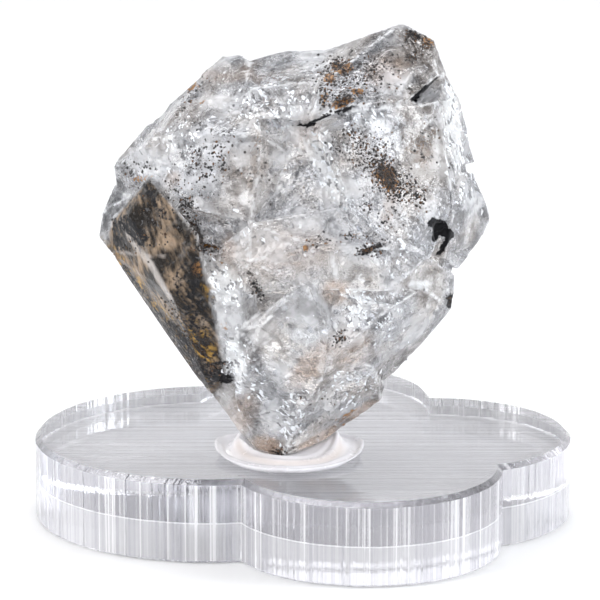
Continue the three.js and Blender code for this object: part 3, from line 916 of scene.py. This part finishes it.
# %% [markdown]
# ### Quartz: chips and stains
# Each chip of the broken faces is a small Voronoi cell with a number of its own. The chips with
# the highest numbers get a painted glint of white or a painted shade of black, and more of them do
# where the stone glitters. Rust, gold and the black film are films on top, so they cover what is
# under them; the black film also paints shadow into two open cracks.

# %% Chips and stains
chip_way = stretched(shifted(swayed, noise(1500, 2.0, output="Color"), 0.0008), (0, -0.6, 0),
                     (0.00048, 0.00048, 0.0009))
chip = node(quartz_tree, "ShaderNodeTexVoronoi", {"Vector": chip_way, "Scale": 1.0})
chip_tones = node(quartz_tree, "ShaderNodeSeparateColor", {0: chip.outputs["Color"]}).outputs
uneven = scaled(wide_grain, 1.6, -0.15)


def picked(number, more, least):
    """1 on the chips with the highest numbers: a share of least, and up to more where it glitters."""
    share = times(scaled(zone("glitter"), more, least), uneven, plain)
    return stepped(calc(quartz_tree, "ADD", number, share), 0.97, 1.03)


# Painted light on the chips: white glints and black shade
painted_glint_chip = times(picked(chip_tones["Green"], 0.36, 0.02), rest_of(smoke_mask))
painted_shade_chip = picked(chip_tones["Blue"], 0.24, 0.08)
colour = blend(times(painted_shade_chip, 0.75), colour, (0.14, 0.14, 0.15))
colour = blend(painted_glint_chip, colour, (0.92, 0.955, 1.0))
rust_tone = blend(stepped(fine_grain, 0.35, 0.7), (0.045, 0.018, 0.007), (0.34, 0.17, 0.06))
colour = blend(rust_mask, colour, rust_tone)
gold_tone = blend(stepped(wide_grain, 0.46, 0.66), (0.026, 0.013, 0.005), (0.46, 0.27, 0.06))
colour = blend(ragged(zone("gold"), wide_grain, 1.3), colour, gold_tone)
# Black mineral film, and painted shadow in two open cracks
colour = blend(black_film_and_shade_mask, colour, (0.012, 0.012, 0.014))
print("with the chips and stains", len(quartz_tree.nodes), "nodes")

# %% [markdown]
# ### Quartz: how clear, how rough
# Whatever covers the stone also stops its light, so one number, dull, lowers the transmission and
# raises the roughness together. Small facets bend the surface where it is broken; the smoky
# crystal and the smooth faces stay nearly flat.

# %% Finish of the quartz
dull = most(times(white, 0.55), times(painted_glint_chip, 0.8), times(rust_mask, 0.85),
            times(smoke_mask, 0.72), black_film_and_shade_mask)
clear = most(calc(quartz_tree, "SUBTRACT", 0.85, dull), 0.0)
roughness = most(scaled(dull, 0.25, 0.05), times(black_film_and_shade_mask, 0.5))
shine = scaled(most(smoke_mask, black_film_and_shade_mask), -0.36, 0.5)
facets = scaled(fine_cells.outputs["Distance"], 0.8, noise(1500, 2.0))
rugged = times(plain, rest_of(times(smoke_mask, 0.8)), scaled(patch, 0.7, 0.3))
scratch = node(quartz_tree, "ShaderNodeBump",
               {"Height": facets, "Strength": scaled(rugged, 0.46, 0.04), "Distance": 0.0005})
quartz_shader = node(quartz_tree, "ShaderNodeBsdfPrincipled",
                     {"Base Color": colour, "Roughness": roughness, "IOR": 1.544,
                      "Transmission Weight": clear, "Specular IOR Level": shine,
                      "Normal": scratch.outputs[0]})
quartz_volume = node(quartz_tree, "ShaderNodeVolumeAbsorption",
                     {"Color": (0.82, 0.80, 0.79, 1), "Density": 8.0})
quartz_tree.links.new(quartz_shader.outputs[0], quartz_out.inputs["Surface"])
quartz_tree.links.new(quartz_volume.outputs[0], quartz_out.inputs["Volume"])

rock.data.materials.clear()
rock.data.materials.append(quartz)
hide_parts("quartz_crystal")
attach(rock, "root")
print("quartz tree", len(quartz_tree.nodes), "nodes")

# %% [markdown]
# ### Mineral specks
# The black and brown dots are grains of another mineral that sit in the broken faces. They are
# loosely strewn in a few clouds, densest in the middle. Each one is found by looking from the eye
# at a random place in its cloud and taking the point where that look meets the stone. Geometry
# Nodes then put a small crumpled ball on each point, at a random size and turn, half sunk.

# %% The tree that puts a small shape on every point
def strewn_tree(name, material, smallest, largest, flat=None):
    inputs = [("Smallest", "Float", smallest), ("Largest", "Float", largest), ("Seed", "Int", 2)]
    tree, start, end = start_tree(name, inputs)
    take = start.outputs
    if flat:
        shape = node(tree, "GeometryNodeMeshCylinder", {"Vertices": 7, "Radius": 0.5, "Depth": flat})
    else:
        shape = node(tree, "GeometryNodeMeshIcoSphere", {"Radius": 0.5, "Subdivisions": 1})
    turn = node(tree, "FunctionNodeRandomValue",
                {"Min": (0, 0, 0), "Max": (6.28, 6.28, 6.28), "Seed": take["Seed"]},
                data_type="FLOAT_VECTOR")
    dice = node(tree, "FunctionNodeRandomValue",
                {2: 0.0, 3: 1.0, "Seed": calc(tree, "ADD", take["Seed"], 5.0)}, data_type="FLOAT")
    small_ones = calc(tree, "POWER", dice.outputs[1], 2.6)
    span = calc(tree, "SUBTRACT", take["Largest"], take["Smallest"])
    size = calc(tree, "MULTIPLY_ADD", small_ones, span, take["Smallest"])
    squash = node(tree, "FunctionNodeRandomValue",
                  {"Min": (0.55, 0.55, 0.8 if flat else 0.55), "Max": (1.0, 1.0, 1.0),
                   "Seed": calc(tree, "ADD", take["Seed"], 9.0)}, data_type="FLOAT_VECTOR")
    scale = node(tree, "ShaderNodeVectorMath", {0: squash.outputs[0], "Scale": size}, operation="SCALE")
    points = node(tree, "GeometryNodeMeshToPoints", {"Mesh": take["Geometry"]})
    placed = node(tree, "GeometryNodeInstanceOnPoints",
                  {"Points": points.outputs[0], "Instance": shape.outputs[0], "Rotation": turn.outputs[0],
                   "Scale": scale.outputs[0]})
    real = node(tree, "GeometryNodeRealizeInstances", {"Geometry": placed.outputs[0]})
    dressed = node(tree, "GeometryNodeSetMaterial", {"Geometry": real.outputs[0], "Material": material})
    tree.links.new(dressed.outputs[0], end.inputs[0])
    return tree


# %% [markdown]
# ### Where the specks lie
# A cloud is its middle, its size, its turn and how many grains it has. The counts come from looking
# at the photo, cloud by cloud, and one number makes all of them more or less plentiful.

# %% Speck clouds, and grains on the points where the eye meets the stone
SPECK_CLOUDS = [  # middle, size, turn, how many; a few wide thin clouds and several dense ones
    ((14.0, 66.5), (2.4, 5.6), 38, 340), ((14.8, 65.0), (1.3, 3.0), 35, 260),
    ((9.5, 71.5), (3.6, 3.2), 30, 130), ((19.5, 62.5), (1.2, 3.2), 30, 90),
    ((15.5, 58.5), (1.6, 3.6), -10, 70), ((11.5, 60.0), (1.2, 1.6), 0, 24),
    ((-17.0, 67.0), (3.6, 4.6), -25, 120), ((-20.4, 60.5), (1.2, 1.1), 0, 60),
    ((-19.2, 57.2), (1.0, 1.8), 0, 60), ((-14.5, 69.0), (2.0, 3.6), 0, 40),
    ((-22.8, 64.0), (1.4, 1.4), 0, 30), ((-8.0, 64.5), (4.0, 3.5), 0, 16),
    ((6.0, 83.0), (3.4, 3.2), 0, 190), ((6.4, 85.2), (1.4, 0.8), 0, 80),
    ((7.0, 78.8), (2.0, 0.9), 25, 110), ((3.6, 79.4), (0.8, 2.2), 0, 60),
    ((12.5, 84.5), (4.0, 2.6), 20, 110), ((19.0, 90.0), (1.6, 1.4), -30, 90),
    ((18.8, 86.4), (1.2, 0.9), 0, 50), ((21.5, 88.5), (1.4, 1.6), 0, 50),
    ((14.0, 80.5), (5.0, 2.0), 10, 40), ((-18.6, 80.5), (3.2, 0.8), 45, 40),
    ((-28.5, 66.5), (2.4, 1.6), 20, 40), ((-16.0, 73.5), (6.0, 0.8), -20, 26),
    ((-26.0, 58.0), (3.0, 4.0), 35, 60), ((-27.5, 53.5), (2.6, 2.2), 0, 20),
    ((-17.5, 52.5), (2.4, 1.2), -20, 70), ((-15.5, 31.0), (1.6, 1.4), 0, 60),
    ((-22.0, 39.5), (1.2, 5.0), 33, 60), ((11.8, 52.4), (2.2, 1.0), 20, 90),
    ((8.5, 54.8), (2.6, 0.5), 0, 26), ((-8.2, 45.4), (0.7, 2.6), 27, 50),
    ((2.5, 54.0), (3.0, 1.4), 0, 22), ((6.5, 36.5), (1.0, 1.4), 0, 26),
    ((22.5, 72.0), (2.6, 4.0), 0, 26), ((25.8, 43.0), (0.5, 1.3), 0, 26),
    ((-3.5, 15.5), (1.4, 0.6), 0, 30), ((2.0, 24.0), (3.0, 3.0), 0, 20),
]
GRAIN_SIZES = (0.16 * MM, 0.66 * MM)
RUST_SHARE = 0.2
SPECK_PLENTY = 2.1  # how many times the counts above
BACK_SPECKS = 1200

stone = BVHTree.FromPolygons([v.co for v in rock.data.vertices],
                             [tuple(p.vertices) for p in rock.data.polygons])


def looked_at(x, z, sink=0.0):
    """Where the eye's look through a place in the front plane meets the stone, or None."""
    way = (Vector((x * MM, FRONT_PLANE, z * MM)) - EYE).normalized()
    hit = stone.ray_cast(EYE, way)[0]
    return None if hit is None else hit + way * sink


def cloud_points(clouds, seed, shallow, deep, plenty=1.0):
    """Random places of each cloud on the stone, sunk along the look by shallow to deep."""
    dice = np.random.default_rng(seed)
    found = []
    for (x, z), (wide, high), turn, count in clouds:
        c, s = math.cos(math.radians(turn)), math.sin(math.radians(turn))
        for u, v, sink in dice.normal(0, 0.62, (round(count * plenty), 3)):
            sink = shallow + (deep - shallow) * min(abs(sink), 1)
            hit = looked_at(x + c * u * wide - s * v * high, z + s * u * wide + c * v * high, sink)
            if hit is not None:
                found.append(hit)
    return found


def stain_material(name, dark, light):
    material, tree, out = new_material(name)
    place = node(tree, "ShaderNodeTexCoord").outputs["Object"]
    tone = node(tree, "ShaderNodeTexNoise", {"Vector": place, "Scale": 900, "Detail": 3.0})
    ramp = node(tree, "ShaderNodeValToRGB", {0: tone.outputs[0]})
    ramp.color_ramp.elements[0].position, ramp.color_ramp.elements[1].position = 0.35, 0.7
    ramp.color_ramp.elements[0].color, ramp.color_ramp.elements[1].color = (*dark, 1), (*light, 1)
    bump = node(tree, "ShaderNodeBump", {"Height": tone.outputs[0], "Strength": 0.3, "Distance": 0.0003})
    shader = node(tree, "ShaderNodeBsdfPrincipled",
                  {"Base Color": ramp.outputs[0], "Roughness": 0.45, "Normal": bump.outputs[0]})
    tree.links.new(shader.outputs[0], out.inputs["Surface"])
    return material


def strewn(name, points, material, sizes, flat=None, seed=2):
    carrier_points = mesh_object("carrier_points", points, [])
    tree = strewn_tree(name, material, *sizes, flat=flat)
    made = grown(tree, carrier_points, {"Seed": seed}, name)
    bpy.data.objects.remove(carrier_points)
    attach(made, "root")
    print(name, len(points), "places,", len(made.data.polygons), "faces")
    return made


specks = cloud_points(SPECK_CLOUDS, 31, -0.05 * MM, 0.05 * MM, SPECK_PLENTY)
back_chance = soft_step(lattice_noise(snapped, 9 * MM, 52), 0.62, 0.9) * (behind > 4)
back_picks = np.random.default_rng(9).choice(len(snapped), BACK_SPECKS, p=back_chance / back_chance.sum())
specks += [rock.data.vertices[i].co.copy() for i in back_picks]
dark_count = int(len(specks) * (1 - RUST_SHARE))
shuffled = [specks[i] for i in np.random.default_rng(3).permutation(len(specks))]
dark_mineral = stain_material("dark_mineral", (0.008, 0.008, 0.009), (0.05, 0.04, 0.035))
strewn("dark_specks", shuffled[:dark_count], dark_mineral, GRAIN_SIZES)
rusty_mineral = stain_material("rusty_mineral", (0.045, 0.02, 0.008), (0.17, 0.085, 0.035))
strewn("rusty_specks", shuffled[dark_count:], rusty_mineral, GRAIN_SIZES, seed=8)

# %% [markdown]
# ### Veils of tiny cracks
# Just under the surface lie flat cracks that shine like little mirrors, because light that meets
# the air in them is thrown back. They are strewn by the same tree, but as thin seven-sided flakes
# that turn every way, and they lie wholly inside the stone. A bright, partly metallic finish
# stands for the total reflection in a crack that is too thin to model.

# %% Veils
VEIL_CLOUDS = [
    ((-13.8, 45.5), (2.8, 3.4), 20, 130), ((-3.5, 21.0), (3.2, 4.0), 0, 170),
    ((9.5, 41.0), (2.6, 2.6), 0, 80), ((12.0, 75.0), (4.0, 1.5), 10, 60),
    ((-4.0, 76.0), (5.0, 2.2), 10, 90), ((-11.6, 30.0), (1.7, 6.0), 8, 110),
    ((4.4, 66.0), (1.5, 7.5), 20, 70), ((26.5, 74.0), (1.4, 7.0), 5, 60),
    ((20.8, 46.0), (2.6, 1.0), 0, 40), ((0.0, 58.0), (17.0, 19.0), 0, 620),
    ((12.0, 36.0), (8.0, 7.0), -30, 160), ((-20.0, 71.0), (7.0, 4.0), 40, 90),
    ((29.0, 60.0), (2.6, 5.0), 0, 60), ((-2.0, 33.0), (5.0, 8.0), 0, 60),
]
VEIL_SIZES = (0.35 * MM, 1.9 * MM)
VEIL_THICKNESS = 0.04  # as a share of a flake's width

veil, veil_nodes, veil_out = new_material("crack_veil")
veil_place = node(veil_nodes, "ShaderNodeTexCoord").outputs["Object"]
veil_noise = node(veil_nodes, "ShaderNodeTexNoise",
                  {"Vector": veil_place, "Scale": 1400, "Detail": 3.0}).outputs[0]
veil_bump = node(veil_nodes, "ShaderNodeBump", {"Height": veil_noise, "Strength": 0.25, "Distance": 0.0004})
veil_shader = node(veil_nodes, "ShaderNodeBsdfPrincipled",
                   {"Base Color": (0.93, 0.94, 0.97, 1), "Metallic": 0.75,
                    "Roughness": calc(veil_nodes, "MULTIPLY_ADD", veil_noise, 0.25, 0.1),
                    "Normal": veil_bump.outputs[0]})
veil_nodes.links.new(veil_shader.outputs[0], veil_out.inputs["Surface"])
strewn("crack_veils", cloud_points(VEIL_CLOUDS, 57, 0.35 * MM, 3.0 * MM), veil, VEIL_SIZES,
       flat=VEIL_THICKNESS, seed=12)

# %% [markdown]
# ## The putty
# The putty was pressed down with a thumb: a thin skirt with two raised lips and a soft thick cup.
# The imported solid already has that form, so its copy is smoothed and dented by a soft noise. The
# thumb went round the crystal and left low rings in the skirt and one deeper groove in front, which
# sink into the putty here. In front the groove, and more faintly the rings, get a warm painted shade.

# %% The putty
PUTTY_CENTRE = (-2.4, -15.9)
SKIRT_START, SKIRT_END = (6.5, 7.5), (11.8, 12.8)  # mm from the centre: where rings fade in and out
RING_PITCH = 2.3
GROOVE_AT, GROOVE_WIDTH = 9.6, 0.75
RING_DEPTH = 0.3 * MM
putty = merged_copy("putty_mount", "putty_blob")
remeshed(putty, 0.3 * MM)
putty_places = vertex_array(putty.data)
putty_normals = normal_array(putty.data)
dent = lattice_noise(putty_places, 3.5 * MM, 4) * 0.22 * MM
upper = soft_step(putty_places[:, 2], PLATE_THICKNESS + 0.3 * MM, PLATE_THICKNESS + 0.8 * MM)
around = putty_places[:, :2] - np.array(PUTTY_CENTRE) * MM
radius = np.hypot(around[:, 0], around[:, 1]) / MM
in_front = soft_step(-around[:, 1] / MM, -4.0, 3.0)
spiral = 0.35 * np.arctan2(around[:, 1], around[:, 0])
swirl = radius + 0.9 * lattice_noise(putty_places, 6.0 * MM, 6) + spiral
rings = 0.5 - 0.5 * np.cos(2 * math.pi * swirl / RING_PITCH)
ringed = soft_step(radius, *SKIRT_START) * (1 - soft_step(radius, *SKIRT_END))
groove = np.exp(-((radius - GROOVE_AT) / GROOVE_WIDTH) ** 2) * in_front
sunk = dent + RING_DEPTH * (rings * ringed + groove)
place_vertices(putty.data, putty_places - putty_normals * (sunk * upper)[:, None])
# Painted shade in the groove and rings in front
ring_shade = putty.data.attributes.new("ring_shade", "FLOAT", "POINT")
ring_shade.data.foreach_set("value", np.clip(0.2 * rings * ringed + groove, 0, 1) * in_front)
for face in putty.data.polygons:
    face.use_smooth = True
print("putty", len(putty.data.polygons), "faces")

# %% [markdown]
# ### Cloudy putty
# Putty of this kind is whitish and lets some light through, so a soft noise mixes clearer and
# cloudier places, and the ring shade attribute tints the groove and rings with a warm painted shade.

# %% Putty material
def putty_material():
    material, tree, out = new_material("clear_putty")
    place = node(tree, "ShaderNodeTexCoord").outputs["Object"]
    cloud = node(tree, "ShaderNodeTexNoise", {"Vector": place, "Scale": 220, "Detail": 4.0}).outputs[0]
    rough = calc(tree, "MULTIPLY_ADD", cloud, 0.25, 0.12)
    clear = calc(tree, "MULTIPLY_ADD", cloud, 0.3, -0.05)
    bump = node(tree, "ShaderNodeBump", {"Height": cloud, "Strength": 0.15, "Distance": 0.001})
    ring_shade = node(tree, "ShaderNodeAttribute", attribute_name="ring_shade").outputs["Fac"]
    # A warm painted shade in the groove and rings
    tint = node(tree, "ShaderNodeMix", {0: ring_shade, 6: (0.98, 0.965, 1.0, 1), 7: (0.90, 0.83, 0.80, 1)},
                data_type="RGBA")
    shader = node(tree, "ShaderNodeBsdfPrincipled",
                  {"Base Color": tint.outputs[2], "Roughness": rough, "IOR": 1.47,
                   "Transmission Weight": clear, "Normal": bump.outputs[0]})
    tree.links.new(shader.outputs[0], out.inputs["Surface"])
    return material


putty.data.materials.clear()
putty.data.materials.append(putty_material())
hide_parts("putty_mount")
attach(putty, "root")
print("putty wears", putty.data.materials[0].name)

# %% [markdown]
# ## Finish
# Grain and marks only go inwards. The carrier that the plate grew on is taken away at the end.

# %% Finish
bpy.data.objects.remove(carrier)
